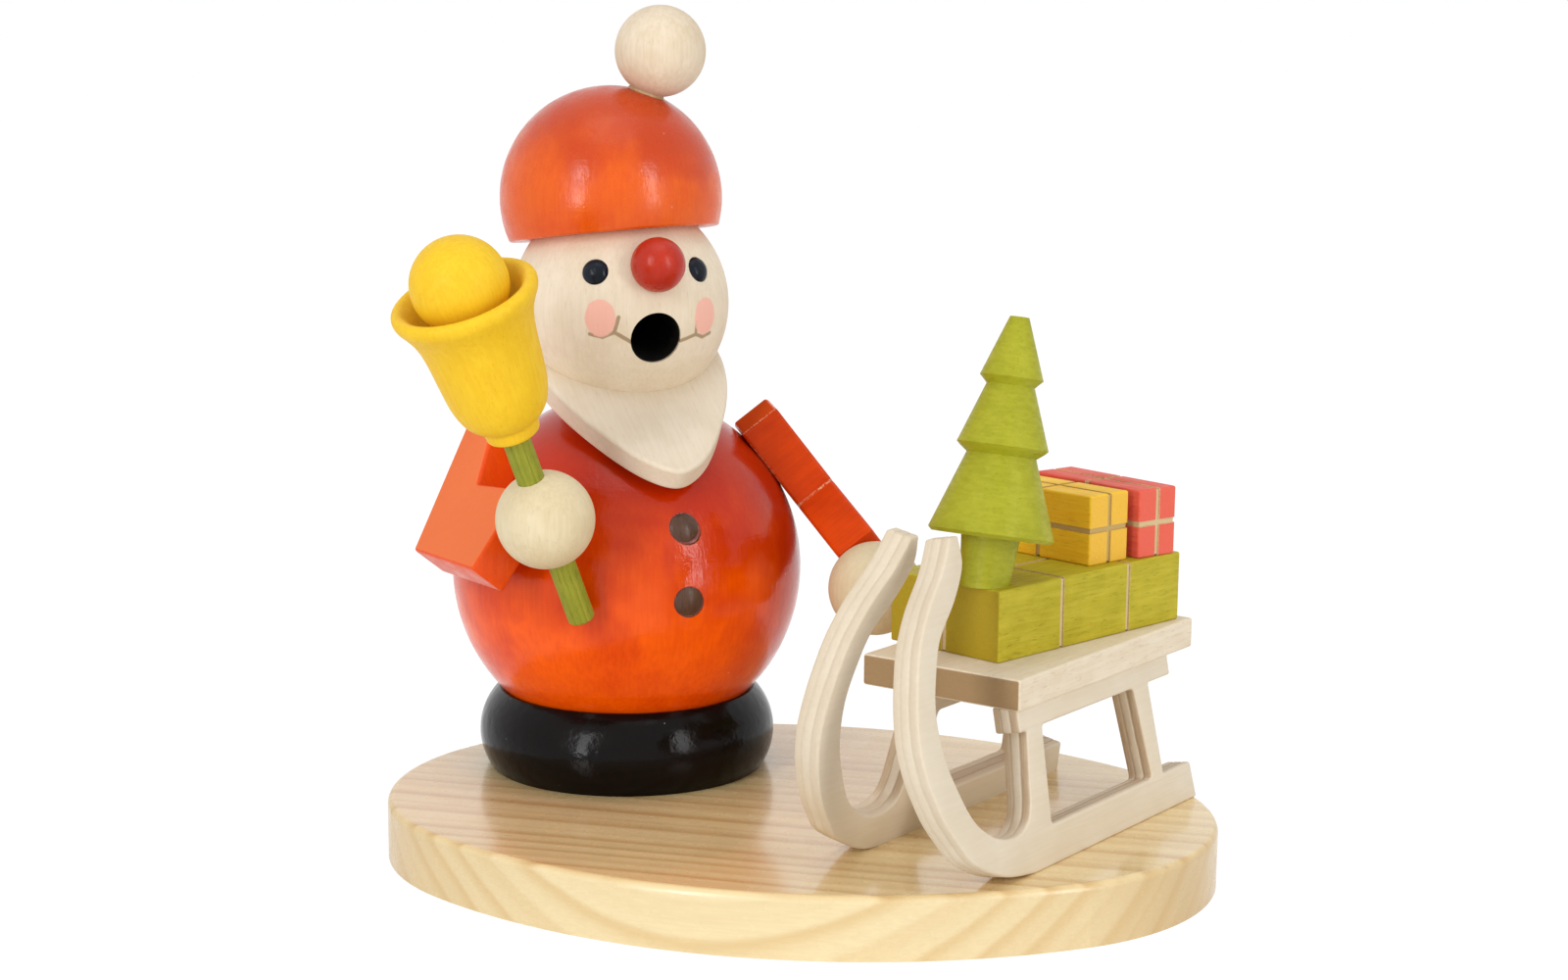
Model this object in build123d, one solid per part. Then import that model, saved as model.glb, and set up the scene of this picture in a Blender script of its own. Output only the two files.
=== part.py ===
from build123d import *
import math
import os

# German incense smoker: a turned wooden gift bringer with a hollow belly, standing on an oval board
# beside a sledge that carries three parcels and a little tree. All sizes are in millimetres, angles in
# degrees. The board is centred on Z, with its long side along X. Heights of the figure and the sledge
# are counted from the top of the board.

# Shared clearances
overrun = 1.0            # how far a cutting body runs past the face that it opens
lift_clearance = 0.35    # between the belly's bore and the round spigot, so that the figure lifts off
edge_round = 0.5         # softened arris of sawn parts

# Board
board_length = 143.0
board_width = 101.8
board_end_radius = 41.5
board_thickness = 10.4
board_edge_round = 1.2

# Where the figure and the sledge stand, and which way they face
figure_x = -35.2
figure_y = 18.6
figure_turn_angle = 34.5
sled_x = 52.24
sled_y = 25.16
sled_turn_angle = -24.44

# Foot of the figure: a turned disc with a round spigot that holds the incense dish
foot_bottom_radius = 24.4
foot_radius = 26.4
foot_radius_height = 6.0
foot_top_radius = 22.9
foot_height = 14.2
spigot_radius = 12.6
spigot_height = 4.0
spigot_chamfer = 0.8
air_groove_width = 3.2
air_groove_depth = 1.6
foot_dowel_radius = 4.0
foot_dowel_depth = 8.0
foot_dowel_in_board = 7.0

# Incense dish, a pressed sheet cup nailed on the spigot
dish_radius = 10.4
dish_flat_radius = 8.2
dish_sheet = 0.5
dish_height = 2.0
dish_nail_radius = 0.7
dish_nail_length = 7.0
dish_nail_head_radius = 1.7
dish_nail_head_height = 0.5

# Belly
belly_radius = 31.0
belly_centre_height = 35.8
chamber_radius = spigot_radius + lift_clearance
chamber_top_height = 50.0
smoke_duct_radius = 4.5
button_radius = 2.45
button_crown = 0.7
button_inlay = 0.6
crown_shares = (0.5, 0.75)      # a point of a domed head: part of its radius, part of its crown
button_stem_radius = 1.2
button_stem_length = 5.0
button_angles = {"button_upper": 22.5, "button_lower": -0.8}

# Head
head_radius = 19.0
head_centre_height = 82.9
head_aside = 1.2         # the head sits this far to the figure's right of the belly's axis
mouth_radius = 4.5
mouth_angle = -13.3
nose_radius = 4.65
nose_angle = 23.5
nose_distance = 20.8
eye_radius = 2.3
eye_crown = 0.9
eye_inlay = 0.4
eye_stem_radius = 0.7
eye_stem_length = 5.0
eye_side_angles = {"eye_left": 29.5, "eye_right": -33.4}
eye_angle = 21.6

# Beard: a flat shield that hangs forward under the head, sawn from board
beard_tilt_angle = 31.0
beard_plane_drop = 5.7       # face of the shield below the middle of the head
beard_thickness = 4.2
beard_reach = 39.4
beard_half_width = 17.3
beard_back = 4.0
beard_arris = 0.7
beard_outline_shares = [(0.22, 1.0), (0.36, 0.955), (0.53, 0.83), (0.68, 0.67), (0.82, 0.485), (0.945, 0.25)]

# Cap and pompom
cap_radius = 19.45
cap_centre_distance = 18.5   # from the middle of the head along the cap's own axis
cap_rim_drop = 6.4           # rim below the middle of the cap's ball
cap_rim_round = 0.5
cap_back_angle = 7.4
cap_side_angle = 2.8
pompom_radius = 7.9
pompom_gap = 0.2
pompom_flat = 0.35           # depth of the flats that meet at the peg, on the ball and on the cap
pompom_side_angle = 16.8
pompom_forward_angle = 9.0
pompom_peg_radius = 1.9
pompom_peg_in_cap = 5.0
pompom_peg_in_ball = 5.0

# Arms: sleeves sawn from flat board, laid on the ball of the belly. Each outline is drawn in the plane
# of its sleeve, as places forward and down from the point where the sleeve touches the ball.
arm_lean_angle = 38.0
arm_toe_angle = 15.0
arm_thickness = 7.7
arm_let_in = 0.5
arm_edge_round = 0.7
shoulder_rise = 7.0
bell_arm_shoulder = (-9.8, -2.2)
bell_arm_elbow_front = (4.6, 6.0)
bell_arm_elbow_back = (-1.8, 20.5)
bell_arm_wrist = 17.4
bell_arm_wrist_heights = (4.9, 20.7)
sled_arm_shoulder = (-6.5, 6.2)
sled_arm_elbow_front = (6.2, 9.4)
sled_arm_elbow_back = (-6.2, 17.0)
sled_arm_wrist_front = (18.6, 18.0)
sled_arm_wrist_back = (11.6, 28.0)
hand_radius = 8.15
bell_hand_place = (24.9, 8.2)
bell_hand_outset = 1.5       # away from the belly from the middle of the sleeve's thickness
sled_hand_place = (20.6, 26.1)
sled_hand_inset = 2.1        # towards the belly from the middle of the sleeve's thickness

# Bell on its stick, held up with the mouth towards the sky
bell_side_angle = 22.7
bell_forward_angle = 12.6
stick_radius = 2.3
stick_below_hand = 20.0
bell_foot_above_hand = 13.4
bell_length = 28.2
bell_rim_radius = 12.3
bell_wall = 1.5
bell_bore_start = 6.5
bell_outline_shares = [(0.37, 0.0), (0.385, 0.07), (0.46, 0.10), (0.565, 0.17), (0.66, 0.33),
                       (0.715, 0.52), (0.75, 0.68), (0.80, 0.79), (0.89, 0.87), (0.985, 0.93)]
bell_lip = 2.0
clapper_radius = 7.85
clapper_above_rim = 2.2
clapper_peg_depth = 5.0

# Sledge: two flat side pieces with a horn each, and a seat board. The side pieces lean in towards each
# other, so that the horns nearly meet. Places in a side piece are counted forward from its heel and up
# along its slope from the board.
sled_width = 32.6            # over the lower edges of the runners
sled_side_thickness = 4.7
side_lean_angle = 10.9
side_edge_round = 0.5
window_corner_round = 0.8
seat_thickness = 5.2
seat_top_height = 30.4
seat_rear = -4.4             # behind the heel of the runners
seat_front = 53.6
seat_width = 29.8
seat_aside = 2.9             # the seat lies this far to the left of the sledge's middle line
runner_height = 6.35
runner_heel_slope = 0.7
rail_low_height = 22.2
rail_rear = 3.5
rail_front = 53.3
rear_leg_top = (11.2, 16.5)
rear_leg_foot = (10.2, 14.3)
front_leg_top = (46.3, 51.2)
front_leg_foot = (47.5, 53.4)
horn_start = 54.0            # where the runner's underside begins to rise
horn_height = 55.2
horn_reach = 81.0
horn_outer_shares = [(0.32, 0.027), (0.615, 0.098), (0.741, 0.163), (0.848, 0.234), (0.915, 0.299),
                     (0.970, 0.371), (1.0, 0.462), (0.982, 0.553), (0.933, 0.643), (0.860, 0.734),
                     (0.725, 0.824), (0.537, 0.915), (0.415, 1.0)]
horn_inner_shares = [(0.326, 1.0), (0.319, 0.915), (0.448, 0.824), (0.652, 0.734), (0.734, 0.643),
                     (0.785, 0.553), (0.781, 0.462), (0.733, 0.371), (0.59, 0.234), (0.43, 0.163),
                     (0.25, 0.129), (0.09, 0.132)]

# Parcels: stained blocks with ribbons sawn through the stain as shallow grooves
ribbon_width = 0.9
ribbon_depth = 0.3
parcel_edge_round = 0.4
green_parcel = (48.4, 23.4, 11.9)     # along the sledge, across it, high
green_parcel_middle = (20.5, 4.6)     # forward from the heels, and off the middle line to the left
green_parcel_angle = -8.4
green_ribbon_shares = (0.2, -0.167)    # places of its cross ribbons, as parts of its length
red_parcel = (8.9, 25.4, 11.8)
red_parcel_middle = (1.2, 3.1)
red_parcel_angle = -15.0
yellow_parcel = (9.8, 23.0, 11.9)
yellow_parcel_middle = (12.8, 5.6)
yellow_parcel_angle = -11.0

# Tree: one turned piece that leans back against nothing, cut slanted at its foot and pegged
tree_place = (42.6, 1.7)
tree_lean_angle = 12.0
tree_height = 43.6
trunk_foot_radius = 4.05
trunk_top_radius = 4.8
trunk_height = 7.6
tier_tops = (21.0, 32.4, tree_height)
tier_bottoms = (trunk_height, 21.9, 33.1)
tier_bottom_radii = (10.3, 7.5, 5.2)
tier_top_radii = (5.7, 3.95, 1.6)
tier_edge_round = 0.6
tree_peg_radius = 1.5
tree_peg_length = 12.0

parts = {}


def ball(radius, centre=(0, 0, 0)):
    """A full ball about a point."""
    return Pos(*centre) * Sphere(radius)


def turned(face):
    """Turns an outline drawn as (radius, height) about the Z axis."""
    return revolve(Plane.XZ * face, axis=Axis.Z)


def direction(side_angle, rise_angle):
    """Unit vector seen from a ball's middle: side_angle turns to the figure's left, rise_angle upwards."""
    side = math.radians(side_angle)
    rise = math.radians(rise_angle)
    return Vector(math.sin(side) * math.cos(rise), -math.cos(side) * math.cos(rise), math.sin(rise))


def leaning(side_angle, forward_angle):
    """Unit vector that stands up and leans to the figure's left and forward by two slopes."""
    return Vector(math.tan(math.radians(side_angle)), -math.tan(math.radians(forward_angle)), 1).normalized()


def outward(centre, along, distance=0):
    """Plane whose Z axis runs along a direction from a centre, at a distance from it."""
    return Plane(origin=Vector(*centre) + along * distance, z_dir=along)


def pin(plane, radius, start, end):
    """Round pin along a plane's Z axis between two distances from its origin."""
    return plane * Pos(0, 0, start) * Cylinder(radius, end - start, align=(Align.CENTER, Align.CENTER, Align.MIN))


def head_centre():
    return Vector(-head_aside, 0, head_centre_height)


def belly_centre():
    return Vector(0, 0, belly_centre_height)


def softened(solid, size, edges=None):
    """Rounds edges by a size."""
    return fillet(solid.edges() if edges is None else edges, size)


def place_of_figure():
    return Pos(figure_x, figure_y, board_thickness) * Rot(0, 0, figure_turn_angle)


def place_of_sled():
    return Pos(sled_x, sled_y, board_thickness) * Rot(0, 0, sled_turn_angle)


def oval_face(length, width, end_radius):
    """Oval of four arcs: two ends and two long flanks that meet them without a corner."""
    half_length = length / 2
    half_width = width / 2
    end_middle = half_length - end_radius
    flank_radius = (end_middle ** 2 + half_width ** 2 - end_radius ** 2) / (2 * (half_width - end_radius))
    flank_middle = flank_radius - half_width
    reach = flank_radius / (flank_radius - end_radius)
    joint_x = end_middle * reach
    joint_y = flank_middle * (reach - 1)
    right = ThreePointArc((joint_x, -joint_y), (half_length, 0), (joint_x, joint_y))
    top = ThreePointArc((joint_x, joint_y), (0, half_width), (-joint_x, joint_y))
    left = ThreePointArc((-joint_x, joint_y), (-half_length, 0), (-joint_x, -joint_y))
    bottom = ThreePointArc((-joint_x, -joint_y), (0, -half_width), (joint_x, -joint_y))
    return make_face([right, top, left, bottom])


def make_board():
    board = extrude(oval_face(board_length, board_width, board_end_radius), board_thickness)
    board = softened(board, board_edge_round, board.edges().group_by(Axis.Z)[-1])
    socket = pin(Plane.XY, foot_dowel_radius, board_thickness - foot_dowel_in_board, board_thickness + overrun)
    return board - Pos(figure_x, figure_y, 0) * socket


def make_foot():
    side = ThreePointArc((foot_bottom_radius, 0), (foot_radius, foot_radius_height), (foot_top_radius, foot_height))
    spigot_top = foot_height + spigot_height
    rest = Polyline((foot_top_radius, foot_height), (spigot_radius, foot_height),
                    (spigot_radius, spigot_top - spigot_chamfer), (spigot_radius - spigot_chamfer, spigot_top),
                    (0, spigot_top), (0, 0), (foot_bottom_radius, 0))
    foot = turned(make_face([side, rest]))
    groove = Pos(0, foot_radius / 2, foot_height) * Box(air_groove_width, foot_radius, 2 * air_groove_depth)
    foot -= groove - pin(Plane.XY, spigot_radius - air_groove_depth, 0, spigot_top)
    slot = Pos(0, spigot_radius, spigot_top)
    foot -= slot * Box(air_groove_width, 2 * air_groove_depth, 2 * (spigot_height + air_groove_depth))
    foot -= pin(Plane.XY, foot_dowel_radius, -overrun, foot_dowel_depth)
    foot -= pin(Plane.XY, dish_nail_radius, spigot_top - dish_nail_length + dish_sheet, spigot_top + overrun)
    return foot


def make_foot_dowel():
    return pin(Plane.XY, foot_dowel_radius, -foot_dowel_in_board, foot_dowel_depth)


def make_dish():
    slope = dish_height / (dish_radius - dish_flat_radius)
    inset = dish_sheet * (math.sqrt(1 + slope ** 2) - 1) / slope
    cup = Polyline((dish_nail_radius, 0), (dish_flat_radius, 0), (dish_radius, dish_height),
                   (dish_radius - dish_sheet * math.sqrt(1 + slope ** 2) / slope, dish_height),
                   (dish_flat_radius - inset, dish_sheet), (dish_nail_radius, dish_sheet),
                   (dish_nail_radius, 0))
    return Pos(0, 0, foot_height + spigot_height) * turned(make_face(cup))


def make_dish_nail():
    sheet_top = foot_height + spigot_height + dish_sheet
    shank = pin(Plane.XY, dish_nail_radius, sheet_top - dish_nail_length, sheet_top)
    head = pin(Plane.XY, dish_nail_head_radius, sheet_top, sheet_top + dish_nail_head_height)
    return shank + head


def make_button(rise_angle):
    plane = outward(belly_centre(), direction(0, rise_angle))
    crown = ThreePointArc((0, belly_radius + button_crown),
                          (button_radius * crown_shares[0], belly_radius + button_crown * crown_shares[1]), (button_radius, belly_radius))
    seat = belly_radius - button_inlay
    rest = Polyline((button_radius, belly_radius), (button_radius, seat), (button_stem_radius, seat),
                    (button_stem_radius, seat - button_stem_length), (0, seat - button_stem_length),
                    (0, belly_radius + button_crown))
    return plane * turned(make_face([crown, rest]))


def make_torso(inlaid):
    belly = ball(belly_radius, belly_centre())
    below = Pos(0, 0, foot_height) * Box(2 * belly_radius, 2 * belly_radius, 2 * belly_radius,
                                         align=(Align.CENTER, Align.CENTER, Align.MAX))
    belly -= below
    belly -= pin(Plane.XY, chamber_radius, foot_height - overrun, chamber_top_height)
    belly -= pin(Plane.XY, smoke_duct_radius, chamber_top_height - overrun, head_centre_height)
    belly -= ball(head_radius, head_centre())
    for piece in inlaid:
        belly -= piece
    return belly


def make_eye(side_angle):
    plane = outward(head_centre(), direction(side_angle, eye_angle))
    crown = ThreePointArc((0, head_radius + eye_crown),
                          (eye_radius * crown_shares[1], head_radius + eye_crown * crown_shares[0]),
                          (eye_radius, head_radius - eye_inlay / 2))
    seat = head_radius - eye_inlay
    rest = Polyline((eye_radius, head_radius - eye_inlay / 2), (eye_radius, seat), (eye_stem_radius, seat),
                    (eye_stem_radius, seat - eye_stem_length), (0, seat - eye_stem_length),
                    (0, head_radius + eye_crown))
    return plane * turned(make_face([crown, rest]))


def make_nose():
    return ball(nose_radius, head_centre() + direction(0, nose_angle) * nose_distance)


def make_head(inlaid):
    head = ball(head_radius, head_centre())
    head -= pin(Plane.XY, smoke_duct_radius, head_centre_height - head_radius - overrun, head_centre_height)
    head -= pin(outward(head_centre(), direction(0, mouth_angle)), mouth_radius, -smoke_duct_radius,
                head_radius + overrun)
    for piece in inlaid:
        head -= piece
    return head


def make_beard():
    """Shield in a plane that dips forward, hollowed by the balls of head and belly."""
    dip = math.radians(beard_tilt_angle)
    up_normal = Vector(0, -math.sin(dip), math.cos(dip))
    face_plane = Plane(origin=head_centre() - up_normal * beard_plane_drop,
                       x_dir=Vector(0, -math.cos(dip), -math.sin(dip)), z_dir=up_normal)
    left = [(along * beard_reach, across * beard_half_width) for along, across in beard_outline_shares]
    right = [(along, -across) for along, across in reversed(left)]
    rim = Spline(left + [(beard_reach, 0)] + right)
    back = Polyline(right[-1], (-beard_back, -beard_half_width), (-beard_back, beard_half_width), left[0])
    shield = extrude(face_plane * make_face([rim, back]), -beard_thickness)
    shield = softened(shield, beard_arris, shield.edges().group_by(SortBy.LENGTH)[-1])
    shield -= ball(head_radius, head_centre())
    return shield - ball(belly_radius, belly_centre())


def cap_axis():
    return leaning(-cap_side_angle, -cap_back_angle)


def cap_centre():
    return head_centre() + cap_axis() * cap_centre_distance


def pompom_plane():
    return outward(cap_centre(), leaning(pompom_side_angle, pompom_forward_angle))


def make_pompom_peg():
    """Peg from the cap into the ball, both of which are flat where it enters."""
    start = cap_radius - pompom_flat
    return pin(pompom_plane(), pompom_peg_radius, start - pompom_peg_in_cap, start + pompom_gap + pompom_peg_in_ball)


def make_pompom(peg):
    flat_height = cap_radius - pompom_flat + pompom_gap
    pompom = pompom_plane() * Pos(0, 0, flat_height - pompom_flat + pompom_radius) * Sphere(pompom_radius)
    return pompom - pin(pompom_plane(), pompom_radius, 0, flat_height) - peg


def make_cap(peg):
    rim_plane = outward(cap_centre(), cap_axis(), -cap_rim_drop)
    cap = ball(cap_radius, cap_centre())
    cap -= rim_plane * Box(2 * cap_radius, 2 * cap_radius, 2 * cap_radius,
                           align=(Align.CENTER, Align.CENTER, Align.MAX))
    cap = softened(cap, cap_rim_round, cap.edges().filter_by(GeomType.CIRCLE))
    cap -= pin(pompom_plane(), pompom_radius, cap_radius - pompom_flat, cap_radius + overrun)
    cap -= ball(head_radius, head_centre())
    return cap - peg


def sleeve_plane():
    """Plane of the left sleeve on the belly: X runs forward, Y down the arm, Z away from the ball."""
    lean = math.radians(arm_lean_angle)
    toe = math.radians(arm_toe_angle)
    out = Vector(math.cos(toe), -math.sin(toe), 0)
    forward = Vector(-math.sin(toe), -math.cos(toe), 0)
    away = out * math.cos(lean) + Vector(0, 0, math.sin(lean))
    touch = belly_centre() + away * (belly_radius - arm_let_in)
    return Plane(origin=touch, x_dir=forward, z_dir=away)


def sleeve(points):
    """Flat sleeve piece with softened edges, seated on the ball of the belly."""
    face = make_face(Polyline(points + points[:1]))
    piece = extrude(sleeve_plane() * face, arm_thickness)
    rim = piece.faces().sort_by(SortBy.AREA)[-2:].edges()
    return softened(piece, arm_edge_round, rim) - ball(belly_radius, belly_centre())


def sled_arm_pieces():
    """Upper sleeve and forearm on the sledge side, mitred at the elbow."""
    back, front = sled_arm_shoulder
    upper = sleeve([(back, -shoulder_rise), (front, -shoulder_rise), sled_arm_elbow_front, sled_arm_elbow_back])
    fore = sleeve([sled_arm_elbow_front, sled_arm_wrist_front, sled_arm_wrist_back, sled_arm_elbow_back])
    return upper, fore


def bell_arm_pieces():
    """Upper sleeve and forearm on the bell side, drawn on the left like the other arm."""
    back, front = bell_arm_shoulder
    top, bottom = bell_arm_wrist_heights
    upper = sleeve([(back, -shoulder_rise), (front, -shoulder_rise), bell_arm_elbow_front, bell_arm_elbow_back])
    fore = sleeve([bell_arm_elbow_front, (bell_arm_wrist, top), (bell_arm_wrist, bottom), bell_arm_elbow_back])
    return upper, fore


def sled_hand_centre():
    forward, down = sled_hand_place
    return sleeve_plane().from_local_coords(Vector(forward, down, arm_thickness / 2 - sled_hand_inset))


def bell_hand_centre():
    """Middle of the bell hand, which lies mirrored on the figure's right."""
    forward, down = bell_hand_place
    centre = sleeve_plane().from_local_coords(Vector(forward, down, arm_thickness / 2 + bell_hand_outset))
    return Vector(-centre.X, centre.Y, centre.Z)


def bell_plane():
    """Plane at the middle of the bell hand, with Z along the stick."""
    return outward(bell_hand_centre(), leaning(-bell_side_angle, bell_forward_angle))


def make_stick():
    top = bell_foot_above_hand + bell_length + clapper_above_rim - clapper_radius + clapper_peg_depth
    return pin(bell_plane(), stick_radius, -stick_below_hand, top)


def bell_outline():
    points = [(across * bell_rim_radius, along * bell_length) for across, along in bell_outline_shares]
    return points


def make_bell(stick):
    outer = bell_outline()
    lip_low = outer[-1]
    lip_out = (bell_rim_radius, lip_low[1] + (bell_length - lip_low[1]) / 2)
    lip_top = (bell_rim_radius - bell_lip / 2, bell_length)
    lip_in = (bell_rim_radius - bell_lip, lip_out[1])
    inner = [(across - bell_wall, along) for across, along in outer[4:-1]]
    outside = Spline([(outer[2][0], outer[2][1])] + outer[3:])
    foot = Polyline((0, bell_bore_start), (0, 0), outer[0], outer[1], outer[2])
    lip = ThreePointArc(lip_low, lip_out, lip_top)
    lip_back = ThreePointArc(lip_top, lip_in, (inner[-1][0], inner[-1][1]))
    inside = Spline(list(reversed(inner)) + [(inner[0][0] / 2, bell_bore_start + bell_wall / 2), (0, bell_bore_start)])
    bell = turned(make_face([foot, outside, lip, lip_back, inside]))
    return bell_plane() * Pos(0, 0, bell_foot_above_hand) * bell - stick


def make_clapper(stick):
    height = bell_foot_above_hand + bell_length + clapper_above_rim
    return bell_plane() * Pos(0, 0, height) * Sphere(clapper_radius) - stick


def horn_points(shares):
    """Places on the horn, from shares of its reach beyond the runner and of its height."""
    return [(horn_start + along * (horn_reach - horn_start), up * horn_height) for along, up in shares]


def side_face():
    """Outline of a side piece, drawn forward from its heel and up its slope."""
    outer = horn_points(horn_outer_shares)
    inner = horn_points(horn_inner_shares)
    rail_top = (seat_top_height - seat_thickness) / math.cos(math.radians(side_lean_angle))
    rail_top += sled_side_thickness * math.tan(math.radians(side_lean_angle))
    leg_slope = (front_leg_top[1] - front_leg_foot[1], rail_low_height - runner_height)
    leg_start = (front_leg_foot[1] + leg_slope[0] / 2, runner_height + leg_slope[1] / 2)
    outside = Spline([(horn_start, 0)] + outer, tangents=[(1, 0), (0, 1)])
    inside = Spline(inner + [leg_start], tangents=[(0, -1), leg_slope])
    rest = Polyline(leg_start, (front_leg_top[1], rail_low_height), (rail_front, rail_low_height),
                    (rail_front, rail_top), (rail_rear, rail_top), (rail_rear, rail_low_height),
                    (rear_leg_top[0], rail_low_height), (rear_leg_foot[0], runner_height),
                    (runner_heel_slope, runner_height), (0, 0), (horn_start, 0))
    window = make_face(Polyline((rear_leg_foot[1], runner_height), (front_leg_foot[0], runner_height),
                                (front_leg_top[0], rail_low_height), (rear_leg_top[1], rail_low_height),
                                (rear_leg_foot[1], runner_height)))
    window = fillet(window.vertices(), window_corner_round)
    return make_face([outside, Line(outer[-1], inner[0]), inside, rest]) - window


def make_sled_side():
    """Right side piece: a flat board, leaning inward, planed level below and under the seat."""
    lean = math.radians(side_lean_angle)
    slope_plane = Plane(origin=(sled_width / 2, 0, 0), x_dir=(0, -1, 0),
                        z_dir=(-math.cos(lean), 0, -math.sin(lean)))
    side = extrude(slope_plane * side_face(), sled_side_thickness)
    rim = side.faces().sort_by(SortBy.AREA)[-2:].edges()
    side = softened(side, side_edge_round, rim)
    side -= Box(2 * sled_width, 2 * horn_reach, horn_height, align=(Align.CENTER, Align.CENTER, Align.MAX))
    above = Pos(0, -(rail_front + overrun), seat_top_height - seat_thickness)
    return side - above * Box(2 * sled_width, 2 * rail_front, horn_height, align=(Align.CENTER, Align.MIN, Align.MIN))


def make_seat():
    length = seat_front - seat_rear
    seat = Pos(-seat_aside, -(seat_rear + length / 2), seat_top_height - seat_thickness / 2)
    return softened(seat * Box(seat_width, length, seat_thickness), edge_round)


def parcel(size, middle, turn, base_height, cross_places, belt=True):
    """Block with ribbon grooves: some across it, one along its middle and one round its waist."""
    along, across, high = size
    block = softened(Box(across, along, high), parcel_edge_round)
    core_across = across - 2 * ribbon_depth
    core_along = along - 2 * ribbon_depth
    core_high = high - 2 * ribbon_depth
    for place in cross_places:
        band = Box(across + overrun, ribbon_width, high + overrun) - Box(core_across, ribbon_width, core_high)
        block -= Pos(0, place * along, 0) * band
    block -= Box(ribbon_width, along + overrun, high + overrun) - Box(ribbon_width, core_along, core_high)
    if belt:
        block -= Box(across + overrun, along + overrun, ribbon_width) - Box(core_across, core_along, ribbon_width)
    forward, left = middle
    return Pos(-left, -forward, base_height + high / 2) * Rot(0, 0, turn) * block


def tree_plane():
    """Plane at the foot of the tree, with Z along the trunk."""
    lean = math.radians(tree_lean_angle)
    forward, left = tree_place
    base = seat_top_height + green_parcel[2]
    return Plane(origin=(-left, -forward, base), z_dir=(0, math.sin(lean), math.cos(lean)))


def make_tree_peg():
    return pin(tree_plane(), tree_peg_radius, -tree_peg_length / 2, tree_peg_length / 2)


def make_tree(peg):
    slant = trunk_foot_radius * math.tan(math.radians(tree_lean_angle))
    points = [(0, -slant - overrun), (trunk_foot_radius, -slant - overrun), (trunk_foot_radius, 0),
              (trunk_top_radius, trunk_height)]
    for bottom, top, wide, narrow in zip(tier_bottoms, tier_tops, tier_bottom_radii, tier_top_radii):
        points += [(wide - tier_edge_round, bottom), (wide, bottom + tier_edge_round), (narrow, top)]
    points += [(0, tree_height), points[0]]
    tree = tree_plane() * turned(make_face(Polyline(points)))
    base = seat_top_height + green_parcel[2]
    below = Pos(0, 0, base) * Box(2 * horn_reach, 4 * horn_reach, horn_reach,
                                  align=(Align.CENTER, Align.CENTER, Align.MAX))
    return tree - below - peg


def build_figure():
    pieces = {}
    for name, rise in button_angles.items():
        pieces[name] = make_button(rise)
    upper_left, fore_left = sled_arm_pieces()
    upper_right, fore_right = [mirror(piece, about=Plane.YZ) for piece in bell_arm_pieces()]
    pieces["torso"] = make_torso([pieces[name] for name in button_angles])
    pieces["nose"] = make_nose()
    for name, side in eye_side_angles.items():
        pieces[name] = make_eye(side)
    pieces["head"] = make_head([pieces["nose"]] + [pieces[name] for name in eye_side_angles])
    pieces["beard"] = make_beard()
    pieces["pompom_peg"] = make_pompom_peg()
    pieces["pompom"] = make_pompom(pieces["pompom_peg"])
    pieces["cap"] = make_cap(pieces["pompom_peg"])
    pieces["upper_arm_left"] = upper_left
    pieces["forearm_left"] = fore_left
    pieces["upper_arm_right"] = upper_right
    pieces["forearm_right"] = fore_right
    pieces["bell_stick"] = make_stick()
    pieces["bell"] = make_bell(pieces["bell_stick"])
    pieces["bell_clapper"] = make_clapper(pieces["bell_stick"])
    pieces["hand_left"] = ball(hand_radius, sled_hand_centre()) - pieces["forearm_left"]
    pieces["hand_right"] = bell_plane() * Sphere(hand_radius) - pieces["bell_stick"] - pieces["forearm_right"]
    return {name: place_of_figure() * piece for name, piece in pieces.items()}


def build_foot():
    pieces = {"foot": make_foot(), "foot_dowel": make_foot_dowel(), "incense_dish": make_dish(),
              "dish_nail": make_dish_nail()}
    return {name: place_of_figure() * piece for name, piece in pieces.items()}


def build_sled():
    load_height = seat_top_height + green_parcel[2]
    pieces = {
        "sled_side_left": mirror(make_sled_side(), about=Plane.YZ),
        "sled_side_right": make_sled_side(),
        "sled_seat": make_seat(),
        "parcel_green": parcel(green_parcel, green_parcel_middle, green_parcel_angle, seat_top_height,
                               green_ribbon_shares, belt=False),
        "parcel_red": parcel(red_parcel, red_parcel_middle, red_parcel_angle, load_height, (0,)),
        "parcel_yellow": parcel(yellow_parcel, yellow_parcel_middle, yellow_parcel_angle, load_height, (0,)),
        "tree_peg": make_tree_peg(),
    }
    pieces["tree"] = make_tree(pieces["tree_peg"])
    pieces["parcel_green"] = pieces["parcel_green"] - pieces["tree_peg"]
    return {name: place_of_sled() * piece for name, piece in pieces.items()}


def main():
    parts["base_board"] = make_board()
    parts.update(build_foot())
    parts.update(build_figure())
    parts.update(build_sled())
    boxes = [piece.bounding_box() for piece in parts.values()]
    middle_x = (min(box.min.X for box in boxes) + max(box.max.X for box in boxes)) / 2
    middle_y = (min(box.min.Y for box in boxes) + max(box.max.Y for box in boxes)) / 2
    os.makedirs("parts", exist_ok=True)
    for name, piece in parts.items():
        export_step(Pos(-middle_x, -middle_y, 0) * piece, "parts/" + name + ".step")


if __name__ == "__main__":
    main()
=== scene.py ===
import math

import bmesh
import bpy
from mathutils import Matrix, Vector
from mathutils.geometry import tessellate_polygon


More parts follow.
